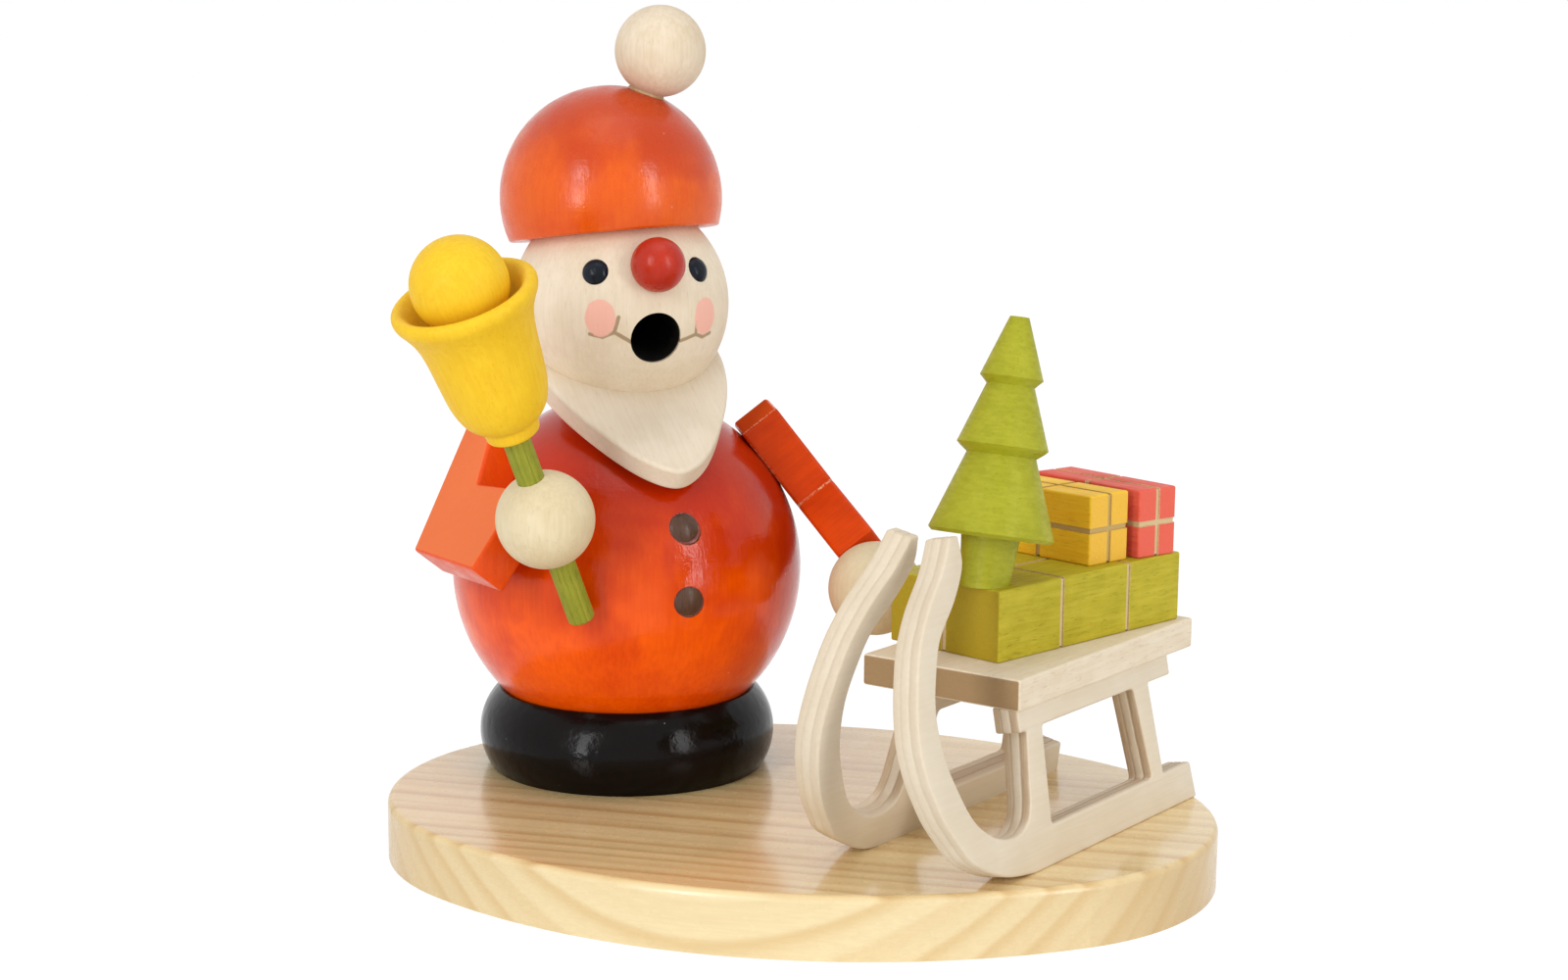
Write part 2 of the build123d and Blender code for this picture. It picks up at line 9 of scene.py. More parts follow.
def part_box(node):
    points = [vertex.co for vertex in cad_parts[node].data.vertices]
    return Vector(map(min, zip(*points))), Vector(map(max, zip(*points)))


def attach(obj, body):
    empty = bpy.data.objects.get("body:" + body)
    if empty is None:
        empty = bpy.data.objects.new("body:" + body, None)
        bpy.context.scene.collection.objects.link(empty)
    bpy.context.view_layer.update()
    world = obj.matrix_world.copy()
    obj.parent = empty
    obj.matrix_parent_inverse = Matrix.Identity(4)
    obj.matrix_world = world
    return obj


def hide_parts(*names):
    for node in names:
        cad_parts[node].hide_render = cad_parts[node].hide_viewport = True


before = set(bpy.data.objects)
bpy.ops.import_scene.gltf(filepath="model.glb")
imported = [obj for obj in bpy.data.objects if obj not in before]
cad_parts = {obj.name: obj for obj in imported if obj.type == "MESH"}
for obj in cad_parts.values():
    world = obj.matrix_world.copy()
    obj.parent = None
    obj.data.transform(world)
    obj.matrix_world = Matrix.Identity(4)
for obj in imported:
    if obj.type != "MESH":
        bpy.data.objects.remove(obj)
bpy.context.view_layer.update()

MM = 0.001

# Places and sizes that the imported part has, in millimetres and degrees. The board's own box gives the shift
# of the whole. Places on the figure and on the sledge are in their own frames.
board_low, board_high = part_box("base_board")
board_middle = Vector(((board_low.x + board_high.x) / 2, (board_low.y + board_high.y) / 2, 0))
BOARD_THICKNESS = 10.4
FIGURE_PLACE, FIGURE_TURN = (-35.2, 18.6), 34.5
SLED_PLACE, SLED_TURN = (52.24, 25.16), -24.44
BELLY_CENTRE, BELLY_RADIUS = (0, 0, 35.8), 31.0
HEAD_CENTRE, HEAD_RADIUS = (-1.2, 0, 82.9), 19.0
BEARD_PLACE, BEARD_FACING = (0, -20, 70), (0, -0.86, -0.51)
CAP_CENTRE, CAP_FLAT = Vector((-2.1, 2.4, 101.3)), 19.1
POMPOM_CENTRE, POMPOM_SIDE, POMPOM_FORWARD = (5, -3, 127), math.radians(16.8), math.radians(9.0)
PARCEL_BASE, LOAD_BASE, PARCEL_HEIGHT = 30.4, 42.3, 11.9
TREE_PLACE, TREE_LEAN = (-1.7, -42.6, LOAD_BASE), math.radians(12)


def standing(place, turn):
    """Frame of something that stands on the board, turned about the vertical."""
    spot = board_middle + Vector((place[0], place[1], BOARD_THICKNESS)) * MM
    return Matrix.Translation(spot) @ Matrix.Rotation(math.radians(turn), 4, "Z")


def at(matrix, place):
    """The frame moved to a place in it, given in millimetres."""
    return matrix @ Matrix.Translation(Vector(place) * MM)


def along(matrix, place, direction, forward=(0, 1, 0)):
    """Frame at a place with Z along a direction and X square to forward, all given in the first frame."""
    z = Vector(direction).normalized()
    x = Vector(forward).cross(z).normalized()
    y = z.cross(x)
    turn = Matrix((x, y, z)).transposed().to_4x4()
    return at(matrix, place) @ turn


def leaning(side_angle, forward_angle):
    """Unit vector that stands up and leans to the figure's left and forward."""
    return Vector((math.tan(side_angle), -math.tan(forward_angle), 1)).normalized()


def world_axis(matrix, axis):
    """An axis of a frame as a unit vector of the whole."""
    return tuple((matrix.to_3x3() @ Vector(axis)).normalized())


figure = standing(FIGURE_PLACE, FIGURE_TURN)
sled = standing(SLED_PLACE, SLED_TURN)
belly = at(figure, BELLY_CENTRE)
head = at(figure, HEAD_CENTRE)


def tone(code):
    """Linear colour from an sRGB code."""
    channels = [int(code[i:i + 2], 16) / 255 for i in (0, 2, 4)]
    return tuple(c / 12.92 if c <= 0.04045 else ((c + 0.055) / 1.055) ** 2.4 for c in channels) + (1,)


class Finish:
    """One node material. What is the same all over is set on the shader's own sockets."""

    def __init__(self, name, **sockets):
        self.material = bpy.data.materials.new(name)
        self.material.use_nodes = True
        self.nodes = self.material.node_tree.nodes
        self.links = self.material.node_tree.links
        self.shader = self.nodes["Principled BSDF"]
        for socket, value in sockets.items():
            self.shader.inputs[socket.replace("_", " ")].default_value = value

    def node(self, kind, inputs=(), **settings):
        made = self.nodes.new("ShaderNode" + kind)
        for key, value in settings.items():
            setattr(made, key, value)
        for key, value in dict(inputs).items():
            if isinstance(value, bpy.types.NodeSocket):
                self.links.new(value, made.inputs[key])
            else:
                made.inputs[key].default_value = value
        return made

    def math(self, operation, *values, clamp=False):
        return self.node("Math", enumerate(values), operation=operation, use_clamp=clamp).outputs[0]

    def vector(self, operation, *values):
        made = self.node("VectorMath", enumerate(values), operation=operation)
        return made.outputs["Value" if operation in ("DOT_PRODUCT", "LENGTH", "DISTANCE") else "Vector"]

    def local(self, matrix):
        """Millimetres in a frame, from the object's own coordinates."""
        place = self.node("TexCoord").outputs["Object"]
        mapping = self.node("Mapping", {"Vector": place}, vector_type="TEXTURE")
        mapping.inputs["Location"].default_value = matrix.to_translation()
        mapping.inputs["Rotation"].default_value = matrix.to_euler()
        mapping.inputs["Scale"].default_value = (MM, MM, MM)
        return mapping.outputs[0]

    def scaled(self, place, factors):
        return self.vector("MULTIPLY", place, factors)

    def parts(self, vector):
        return self.node("SeparateXYZ", {0: vector}).outputs

    def normal(self):
        return self.node("NewGeometry").outputs["Normal"]

    def facing(self, axis):
        """How far the surface faces along an axis of the whole, from -1 to 1."""
        return self.vector("DOT_PRODUCT", self.normal(), axis)

    def noise(self, place, scale, detail=2.0, rough=0.5, distortion=0.0):
        shape = {"Scale": scale, "Detail": detail, "Roughness": rough, "Distortion": distortion}
        return self.node("TexNoise", {"Vector": place, **shape}).outputs["Fac"]

    def step(self, value, low, high, to_low=0.0, to_high=1.0):
        inputs = {"Value": value, "From Min": low, "From Max": high, "To Min": to_low, "To Max": to_high}
        return self.node("MapRange", inputs, interpolation_type="SMOOTHSTEP").outputs[0]

    def mix(self, factor, low, high):
        return self.node("Mix", {0: factor, 6: low, 7: high}, data_type="RGBA").outputs[2]

    def specks(self, place, cell, size, share):
        """1 in small round specks scattered in a share of the cells."""
        cells = self.node("TexVoronoi", {"Vector": place, "Scale": 1 / cell})
        near = self.step(cells.outputs["Distance"], size / cell, 0.4 * size / cell)
        lucky = self.math("LESS_THAN", self.parts(cells.outputs["Color"])[0], share)
        return self.math("MULTIPLY", near, lucky)

    def done(self, colour, roughness, height, depth):
        """The material with its colour, its roughness and bumps of a depth in millimetres."""
        self.links.new(colour, self.shader.inputs["Base Color"])
        self.links.new(roughness, self.shader.inputs["Roughness"])
        bump = self.node("Bump", {"Height": height, "Strength": 1.0, "Distance": depth * MM})
        self.links.new(bump.outputs[0], self.shader.inputs["Normal"])
        return self.material


def add(g, *values):
    total = values[0]
    for value in values[1:]:
        total = g.math("ADD", total, value)
    return total


def product(g, *values):
    total = values[0]
    for value in values[1:]:
        total = g.math("MULTIPLY", total, value)
    return total


def near_point(g, x, y, point):
    """Distance of (x, y) from a point in the same plane."""
    dx = g.math("SUBTRACT", x, point[0])
    dy = g.math("SUBTRACT", y, point[1])
    return g.math("SQRT", add(g, product(g, dx, dx), product(g, dy, dy)))


def near_segment(g, flat, start, end):
    """Distance of a flat place from a segment."""
    run = Vector((end[0] - start[0], end[1] - start[1], 0))
    offset = g.vector("SUBTRACT", flat, (start[0], start[1], 0))
    share = g.math("DIVIDE", g.vector("DOT_PRODUCT", offset, tuple(run)), run.length_squared, clamp=True)
    foot = g.node("VectorMath", {0: tuple(run), "Scale": share}, operation="SCALE").outputs["Vector"]
    return g.vector("DISTANCE", offset, foot)


# Finishes

def grain(g, place, fibre=(1, 1, 0.05), size=1.6):
    """Fine fibres that run along the frame's Z axis, from 0 to 1."""
    fine = g.noise(g.scaled(place, fibre), size, 3.0, 0.6)
    return g.step(fine, 0.34, 0.66)


def stained(name, place_frame, light, deep, gloss, shine, worn=None, rings=True, run=None, end=None):
    """Satin lacquer over a translucent stain: soft blotches, fine fibres and turning rings. run is a second
    tone that comes in between two heights, end a matt tone for what faces along an axis, and worn a mask of
    bare places. The belly's and the cap's runs darken their tops, partly as stain and partly as painted
    shade;
    the end tone is end grain on the left sleeve and a paler painted light on the bell arm's outer face."""
    g = Finish(name, Specular_IOR_Level=shine)
    place = g.local(place_frame)
    fibres = grain(g, place)
    blotch = g.step(g.noise(place, 0.075, 2.0, 0.5, 0.6), 0.32, 0.68)
    cloud = g.step(g.noise(place, 0.28, 3.0, 0.6), 0.3, 0.7)
    depth = add(g, product(g, blotch, 0.46), product(g, cloud, 0.22), product(g, fibres, 0.24))
    colour = g.mix(depth, tone(light), tone(deep))
    # The run darkens towards the top: partly stain, partly painted shade
    if run is not None:
        low_end, high_end, code, amount = run
        level = add(g, g.parts(place)[2], product(g, blotch, 7.0))
        colour = g.mix(product(g, g.step(level, low_end, high_end), amount), colour, tone(code))
    pores = g.step(g.noise(g.scaled(place, (1, 1, 0.12)), 3.4, 2.0, 0.6), 0.66, 0.74)
    colour = g.mix(product(g, pores, 0.16), colour, tone("8A2000"))
    dust = g.specks(place, 4.2, 0.16, 0.30)
    colour = g.mix(product(g, dust, 0.7), colour, tone("FFD9BE"))
    if worn is not None:
        ragged = g.step(g.noise(place, 2.6, 3.0, 0.7), 0.42, 0.6)
        colour = g.mix(product(g, worn(g), ragged), colour, tone("E8B48C"))
    rough = g.step(cloud, 0.0, 1.0, gloss - 0.05, gloss + 0.07)
    if end is not None:
        axis, code = end
        # Faces along the axis get the end tone: end grain on the left sleeve, painted light on the bell arm's
        # outer face
        matt = g.step(g.facing(axis), 0.8, 0.95)
        colour = g.mix(matt, colour, tone(code))
        rough = add(g, rough, product(g, matt, 0.35))
        left_shine = product(g, g.math("SUBTRACT", 1.0, matt), shine)
        g.links.new(left_shine, g.shader.inputs["Specular IOR Level"])
    orange_peel = g.noise(place, 0.9, 2.0, 0.5)
    height = add(g, product(g, fibres, 0.25), product(g, orange_peel, 0.9))
    if rings:
        height = add(g, height, product(g, g.noise(g.scaled(place, (0.02, 0.02, 1)), 2.2, 2.0), 0.5))
    return g.done(colour, rough, height, 0.045)


def raw_beech(name, place_frame, light, deep, paint=None):
    """Sanded bare wood with short darker flecks, its fibres along the frame's Z axis."""
    g = Finish(name, Specular_IOR_Level=0.35)
    place = g.local(place_frame)
    fibres = grain(g, place, (1, 1, 0.06))
    cloud = g.step(g.noise(place, 0.16, 2.0, 0.5), 0.3, 0.7)
    depth = add(g, product(g, cloud, 0.45), product(g, fibres, 0.32))
    colour = g.mix(depth, tone(light), tone(deep))
    flecks = g.step(g.noise(g.scaled(place, (1, 1, 0.132)), 3.0, 1.0, 0.5), 0.66, 0.73)
    colour = g.mix(product(g, flecks, 0.16), colour, tone("B49670"))
    rough = g.step(fibres, 0.0, 1.0, 0.56, 0.68)
    if paint is not None:
        colour = paint(g, colour)
    height = add(g, product(g, fibres, 0.6), product(g, flecks, -0.8))
    return g.done(colour, rough, height, 0.03)


# Painted face: angles from the middle of the head, to the figure's left and upwards, in degrees
CHEEKS = ((30.7, -3.0), (-30.0, -2.2))
CHEEK_HALF_AXES = (8.1, 9.7)
SMILE = (
    ((-13.5, -14.9), (-22.6, -9.4)), ((-22.6, -9.4), (-20.4, -1.6)),
    ((-22.6, -9.4), (-29.0, -12.0)), ((-29.0, -12.0), (-35.5, -10.6)),
    ((14.4, -15.0), (24.4, -12.2)), ((24.4, -12.2), (24.2, -5.6)),
    ((24.4, -12.2), (30.0, -14.0)), ((30.0, -14.0), (36.5, -12.4)),
)
SMILE_HALF_WIDTH = 0.95


def painted_face(g, colour):
    """Cheeks, the lines of the smile and a nearly black inside of the mouth, over bare wood."""
    x, y, z = g.parts(g.local(head))
    forward = product(g, y, -1.0)
    side = product(g, g.math("ARCTAN2", x, forward), 180 / math.pi)
    level = g.math("SQRT", add(g, product(g, x, x), product(g, y, y)))
    rise = product(g, g.math("ARCTAN2", z, level), 180 / math.pi)
    ragged = product(g, g.math("SUBTRACT", g.noise(g.local(head), 0.9, 2.0), 0.5), 0.16)
    flat = g.node("CombineXYZ", {0: side, 1: rise}).outputs[0]
    gap = None
    for start, end in SMILE:
        distance = near_segment(g, flat, start, end)
        gap = distance if gap is None else g.math("MINIMUM", gap, distance)
    gap = add(g, gap, product(g, ragged, 3.0))
    line = g.step(gap, SMILE_HALF_WIDTH + 0.35, SMILE_HALF_WIDTH - 0.25)
    colour = g.mix(product(g, line, 0.82), colour, tone("9A7C58"))
    for middle_side, middle_rise in CHEEKS:
        u = g.math("DIVIDE", g.math("SUBTRACT", side, middle_side), CHEEK_HALF_AXES[0])
        v = g.math("DIVIDE", g.math("SUBTRACT", rise, middle_rise), CHEEK_HALF_AXES[1])
        reach = add(g, near_point(g, u, v, (0, 0)), ragged)
        colour = g.mix(product(g, g.step(reach, 1.06, 0.94), 0.94), colour, tone("F6B8A6"))
    # Every surface inside the head's ball, the mouth's bore, is painted nearly black
    radius = g.vector("LENGTH", g.local(head))
    inside_mouth = g.step(radius, HEAD_RADIUS - 0.15, HEAD_RADIUS - 0.75)
    return g.mix(inside_mouth, colour, tone("0B0807"))


def dyed(name, place_frame, light, deep, pore, fibre=(1, 1, 0.06), size=1.6, rough=(0.42, 0.56), coat=0.0,
         marks=None, end_axis=None, end_tone=None, porous=0.42):
    """Matt dye on bare wood: the fibres and pores take it unevenly. End grain may have a tone of its own,
    and marks are painted last."""
    g = Finish(name, Coat_Weight=coat, Coat_Roughness=0.3, Specular_IOR_Level=0.22)
    place = g.local(place_frame)
    fibres = grain(g, place, fibre, size)
    cloud = g.step(g.noise(place, 0.2, 3.0, 0.6), 0.28, 0.72)
    colour = g.mix(add(g, product(g, cloud, 0.45), product(g, fibres, 0.42)), tone(light), tone(deep))
    pore_factors = tuple(min(1.0, factor * 2.5) for factor in fibre)
    pores = g.step(g.noise(g.scaled(place, pore_factors), 3.2, 2.0, 0.5), 0.60, 0.72)
    colour = g.mix(product(g, pores, porous), colour, tone(pore))
    if end_axis is not None:
        end_grain = g.step(g.math("ABSOLUTE", g.facing(end_axis)), 0.75, 0.95)
        colour = g.mix(end_grain, colour, tone(end_tone))
    if marks is not None:
        colour = marks(g, place, colour)
    height = add(g, product(g, fibres, 0.7), product(g, pores, -0.9))
    return g.done(colour, g.step(fibres, 0.0, 1.0, *rough), height, 0.04)


# Growth rings of the board: pith behind and below it, width of a year, drift of the rings along the board
PITH, YEAR, DRIFT = (92.0, -78.0), 3.1, 0.035


def pine_board():
    """Rift-sawn pine under satin lacquer, its pith along X. Some years are darker than others. The top face
    is painted darker than the sides, as shade where less light falls from above.
    """
    g = Finish("pine", Coat_Roughness=0.12, Specular_IOR_Level=0.4)
    place = g.local(Matrix.Translation(board_middle))
    bend = g.scaled(place, (0.35, 1, 1))
    wander = product(g, g.math("SUBTRACT", g.noise(bend, 0.018, 1.0, 0.4), 0.5), 9.0)
    x, y, z = g.parts(place)
    swept = add(g, y, product(g, x, DRIFT), wander)
    ring = near_point(g, swept, z, PITH)
    ring = add(g, ring, product(g, g.noise(g.scaled(place, (0.02, 0.5, 0.5)), 0.3, 1.0), 0.5))
    turn = g.math("FRACT", g.math("DIVIDE", ring, YEAR))
    late = product(g, g.math("POWER", turn, 1.5), g.step(turn, 1.0, 0.76))
    years = g.node("CombineXYZ", {0: product(g, ring, 0.2)}).outputs[0]
    variety = g.step(g.noise(years, 1.0, 2.0, 0.6), 0.36, 0.62, 0.22, 1.0)
    late = product(g, late, variety)
    late = add(g, product(g, late, 0.75), product(g, variety, 0.22))
    fibres = g.step(g.noise(g.scaled(place, (0.035, 1, 1)), 2.2, 3.0, 0.6), 0.3, 0.7)
    sideways, _, up = g.parts(g.normal())
    # Top-facing surfaces get darker tones than the sides: painted shade, as less light falls on the top
    top = g.step(up, 0.3, 0.9)
    early_wood_shaded_on_top = g.mix(top, tone("F0DEB2"), tone("F0D8A2"))
    late_wood_shaded_on_top = g.mix(top, tone("D8B87E"), tone("C69A5A"))
    colour = g.mix(g.math("MULTIPLY", late, 1.05, clamp=True), early_wood_shaded_on_top, late_wood_shaded_on_top)
    colour = g.mix(product(g, fibres, 0.10), colour, tone("B98F55"))
    ends = g.step(g.math("ABSOLUTE", sideways), 0.2, 1.0)
    colour = g.mix(product(g, ends, 0.7), colour, tone("C6A26A"))
    rough = g.step(g.noise(place, 0.25, 2.0), 0.3, 0.7, 0.22, 0.32)
    height = add(g, product(g, late, 0.6), product(g, fibres, 0.25))
    g.links.new(g.step(up, 0.9, 0.999, 0.12, 0.6), g.shader.inputs["Coat Weight"])
    return g.done(colour, rough, height, 0.02)


def black_lacquer(name, place_frame, light="0C0504", deep="090605", rough=0.13):
    """Nearly black gloss lacquer, a little uneven, with dust caught in it."""
    g = Finish(name, Specular_IOR_Level=0.14)
    place = g.local(place_frame)
    cloud = g.step(g.noise(place, 0.12, 2.0), 0.3, 0.7)
    colour = g.mix(cloud, tone(deep), tone(light))
    dust = g.specks(place, 2.1, 0.11, 0.16)
    colour = g.mix(product(g, dust, 0.8), colour, tone("C8C4BE"))
    uneven = g.noise(place, 0.55, 3.0, 0.55)
    return g.done(colour, g.step(cloud, 0.0, 1.0, rough, rough + 0.1), uneven, 0.09)


def metal(name, code, rough):
    g = Finish(name, Metallic=1.0)
    place = g.local(figure)
    worn = g.step(g.noise(place, 0.8, 3.0), 0.3, 0.7)
    colour = g.mix(worn, tone(code), tone("6B5A3C"))
    return g.done(colour, g.step(worn, 0.0, 1.0, rough, rough + 0.15), g.noise(place, 2.0), 0.01)


def dress(name, material):
    """Gives a carried-over node its finish."""
    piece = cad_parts[name]
    if not piece.material_slots:
        piece.data.materials.append(material)
    for slot in piece.material_slots:
        slot.material = material


# The sleeves' plane, as the part has it: X forward, Y down the arm, Z away from the belly
ARM_LEAN, ARM_TOE, ARM_LET_IN = math.radians(38.0), math.radians(15.0), 0.5
# Corners of the left sleeve where its lacquer is worn, forward and down the arm
LEFT_ELBOW, LEFT_TOP = (6.2, 9.4), (6.2, -7.0)


def sleeve_frame(side):
    """Frame of a sleeve on the figure's left (1) or right (-1); the right one is mirrored along X."""
    out = Vector((math.cos(ARM_TOE), -math.sin(ARM_TOE), 0))
    ahead = Vector((-math.sin(ARM_TOE), -math.cos(ARM_TOE), 0))
    away = out * math.cos(ARM_LEAN) + Vector((0, 0, math.sin(ARM_LEAN)))
    down = away.cross(ahead)
    touch = Vector(BELLY_CENTRE) + away * (BELLY_RADIUS - ARM_LET_IN)
    turn = Matrix((ahead, down, away)).transposed().to_4x4()
    mirror = Matrix.Diagonal((side, 1, 1, 1))
    return figure @ mirror @ Matrix.Translation(touch * MM) @ turn


def worn_left_arm(g):
    """Bare lines at the elbow, along the top end and where the sleeve meets the belly."""
    x, y, z = g.parts(g.local(sleeve_frame(1)))
    elbow = g.step(near_point(g, x, y, LEFT_ELBOW), 0.34, 0.12)
    top = g.step(near_point(g, x, y, LEFT_TOP), 0.26, 0.1)
    gap = g.math("SUBTRACT", g.vector("LENGTH", g.local(belly)), BELLY_RADIUS + 0.15)
    contact = product(g, g.step(g.math("ABSOLUTE", gap), 0.55, 0.2), 0.8)
    return g.math("MAXIMUM", g.math("MAXIMUM", elbow, top), contact)


# Finishes of the carried-over nodes
dress("base_board", pine_board())
dress("foot", black_lacquer("black_wood", figure))
# The belly and the cap turn deeper red towards their tops: partly stain, partly painted shade where less
# light falls
belly_stain_and_shade_run = (-8.0, 22.0, "B01C00", 0.85)
cap_stain_and_shade_run = (4.0, 17.0, "BC3602", 0.8)
dress("torso", stained("red_belly", belly, "FC6000", "DE4000", 0.14, 0.26, run=belly_stain_and_shade_run))
dress("cap", stained("red_cap", at(figure, CAP_CENTRE), "E66008", "D44400", 0.24, 0.34, run=cap_stain_and_shade_run))
up_the_arm = world_axis(sleeve_frame(1), (0, -1, 0))
left_red = stained("red_left_arm", sleeve_frame(1), "E44A08", "C03602", 0.3, 0.16, worn_left_arm, rings=False,
                   end=(up_the_arm, "DA5220"))
# The bell arm's outer face gets a paler, pinker tone: painted light, where the lamps and the white around
# light it
lit_outer_face_axis = world_axis(sleeve_frame(-1), (0, 0, 1))
right_red = stained("red_right_arm", belly, "EE540E", "DE4202", 0.3, 0.22, rings=False,
                    end=(lit_outer_face_axis, "EA7A4C"))
for side, red in (("left", left_red), ("right", right_red)):
    dress("upper_arm_" + side, red)
    dress("forearm_" + side, red)
dress("head", raw_beech("beech_head", head, "EFE0C9", "E2CFB2", paint=painted_face))
beard_frame = along(figure, BEARD_PLACE, BEARD_FACING, (1, 0, 0))
dress("beard", raw_beech("beech_beard", beard_frame, "E8DAC5", "DCCBB2"))
dress("pompom", raw_beech("beech_pompom", at(figure, POMPOM_CENTRE), "E6D5BC", "D2BC9B"))
for name in ("hand_left", "hand_right"):
    dress(name, raw_beech("beech_" + name, belly, "E2D3AF", "D5C098"))
for name in ("pompom_peg", "foot_dowel", "tree_peg"):
    dress(name, raw_beech("beech_" + name, figure, "D9BE96", "C2A273"))
dress("nose", stained("nose_red", head, "C0321A", "AC2010", 0.3, 0.26))
for name in ("eye_left", "eye_right"):
    dress(name, black_lacquer("gloss_" + name, head, "1C232C", "0E1116", 0.12))
for name in ("button_upper", "button_lower"):
    dress(name, dyed("brown_" + name, belly, "5C3D2B", "442A1C", "2C1A10", rough=(0.26, 0.4), coat=0.3))

# The stick's frame: Z along the stick, from the middle of the hand, which is a place in the sleeve's frame
BELL_SIDE, BELL_FORWARD, BELL_HAND = math.radians(22.7), math.radians(12.6), Vector((24.9, 8.2, 5.35))
bell_hand = figure.inverted() @ sleeve_frame(-1) @ (BELL_HAND * MM) / MM
bell_frame = along(figure, bell_hand, leaning(-BELL_SIDE, BELL_FORWARD))
yellow = dyed("yellow_wood", bell_frame, "F4C828", "ECBA1E", "DCA418", (1, 1, 0.10), rough=(0.46, 0.58),
              porous=0.2)
dress("bell", yellow)
dress("bell_clapper", yellow)
green_stick = dyed("green_stick", bell_frame, "9E9C34", "7E8624", "5A6E16", (1, 1, 0.05), 2.2)
dress("bell_stick", green_stick)
dress("incense_dish", metal("brass_sheet", "C9A14E", 0.3))
dress("dish_nail", metal("steel", "9A9A98", 0.35))


def piece_from(name, mesh, matrix, material, body, sharp=35):
    """Object from a bmesh drawn in a frame in millimetres; it stays at the origin, like the nodes."""
    bmesh.ops.transform(mesh, matrix=matrix @ Matrix.Scale(MM, 4), verts=mesh.verts)
    bmesh.ops.recalc_face_normals(mesh, faces=mesh.faces)
    data = bpy.data.meshes.new(name)
    mesh.to_mesh(data)
    mesh.free()
    data.shade_smooth()
    data.set_sharp_from_angle(angle=math.radians(sharp))
    data.materials.append(material)
    piece = bpy.data.objects.new(name, data)
    bpy.context.scene.collection.objects.link(piece)
    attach(piece, body)
    return piece


def lofted(rings, capped=True):
    """Closed skin over rings of points, each ring with the same number of them."""
    mesh = bmesh.new()
    loops = [[mesh.verts.new(point) for point in ring] for ring in rings]
    count = len(loops[0])
    for low_loop, high_loop in zip(loops, loops[1:]):
        for i in range(count):
            j = (i + 1) % count
            mesh.faces.new((low_loop[i], low_loop[j], high_loop[j], high_loop[i]))
    if capped:
        mesh.faces.new(loops[0])
        mesh.faces.new(loops[-1])
    return mesh


def circle(radius, height, count):
    angles = [2 * math.pi * i / count for i in range(count)]
    return [(radius * math.cos(angle), radius * math.sin(angle), height) for angle in angles]


def smooth_line(points, steps=6):
    """Points on a smooth line through the given ones."""
    out = []
    last = len(points) - 1
    for i in range(last):
        before, after = points[max(i - 1, 0)], points[min(i + 2, last)]
        start, end = points[i], points[i + 1]
        for k in range(steps):
            t = k / steps
            place = []
            for a, b, c, d in zip(before, start, end, after):
                bend = (2 * a - 5 * b + 4 * c - d) * t * t + (3 * b - 3 * c + d - a) * t ** 3
                place.append(0.5 * (2 * b + (c - a) * t + bend))
            out.append(tuple(place))
    return out + [tuple(points[last])]


SHARP_CORNER = math.radians(25)


def rounded(points, radius, steps=5):
    """Closed outline whose sharp corners become short curves."""
    out = []
    for i, point in enumerate(points):
        corner = Vector(point)
        back, ahead = Vector(points[i - 1]) - corner, Vector(points[(i + 1) % len(points)]) - corner
        turn = math.pi - back.angle(ahead)
        if turn < SHARP_CORNER:
            out.append(tuple(corner))
            continue
        reach = min(radius * math.tan(turn / 2), 0.45 * back.length, 0.45 * ahead.length)
        start, end = corner + back.normalized() * reach, corner + ahead.normalized() * reach
        for k in range(steps + 1):
            t = k / steps
            out.append(tuple(start * (1 - t) ** 2 + corner * 2 * t * (1 - t) + end * t * t))
    return out


def inset(points, distance):
    """The outline moved to its left by a distance."""
    out = []
    for i, point in enumerate(points):
        here = Vector(point)
        first = (here - Vector(points[i - 1])).normalized()
        second = (Vector(points[(i + 1) % len(points)]) - here).normalized()
        normals = Vector((-first.y, first.x)), Vector((-second.y, second.x))
        share = max(1 + normals[0].dot(normals[1]), 0.5)
        out.append(tuple(here + (normals[0] + normals[1]) * (distance / share)))
    return out


def plate(outlines, stations, settle=lambda x, y, z: (x, y, z)):
    """Flat piece over closed outlines, the first one round it and the others round its windows. A station is
    a height with the inset of the outlines there, and settle moves each point last."""
    mesh = bmesh.new()
    layers = []
    for height, distance in stations:
        lines = [inset(line, distance) for line in outlines]
        layers.append([[mesh.verts.new(settle(x, y, height)) for x, y in line] for line in lines])
    for low_layer, high_layer in zip(layers, layers[1:]):
        for low_loop, high_loop in zip(low_layer, high_layer):
            for i, vert in enumerate(low_loop):
                j = (i + 1) % len(low_loop)
                mesh.faces.new((vert, low_loop[j], high_loop[j], high_loop[i]))
    for layer, (_, distance) in ((layers[0], stations[0]), (layers[-1], stations[-1])):
        verts = [vert for loop in layer for vert in loop]
        lines = [[Vector((x, y, 0)) for x, y in inset(line, distance)] for line in outlines]
        for triangle in tessellate_polygon(lines):
            mesh.faces.new([verts[i] for i in triangle])
    return mesh


def rounded_edge(low, high, radius, steps=4):
    """Stations at the low and at the high end of a plate with round edges."""
    arc = []
    for k in range(steps + 1):
        angle = math.pi / 2 * k / steps
        arc.append((radius * (1 - math.cos(angle)), radius * (1 - math.sin(angle))))
    lower = [(low + rise, distance) for rise, distance in arc]
    upper = [(high - rise, distance) for rise, distance in reversed(arc)]
    return lower, upper


# Grooved dowel that stands for the plain stick
STICK_RADIUS, STICK_START, STICK_END, STICK_CHAMFER = 2.28, -20.0, 40.9, 0.35
FLUTES, FLUTE_DEPTH, POINTS_PER_FLUTE = 13, 0.15, 8


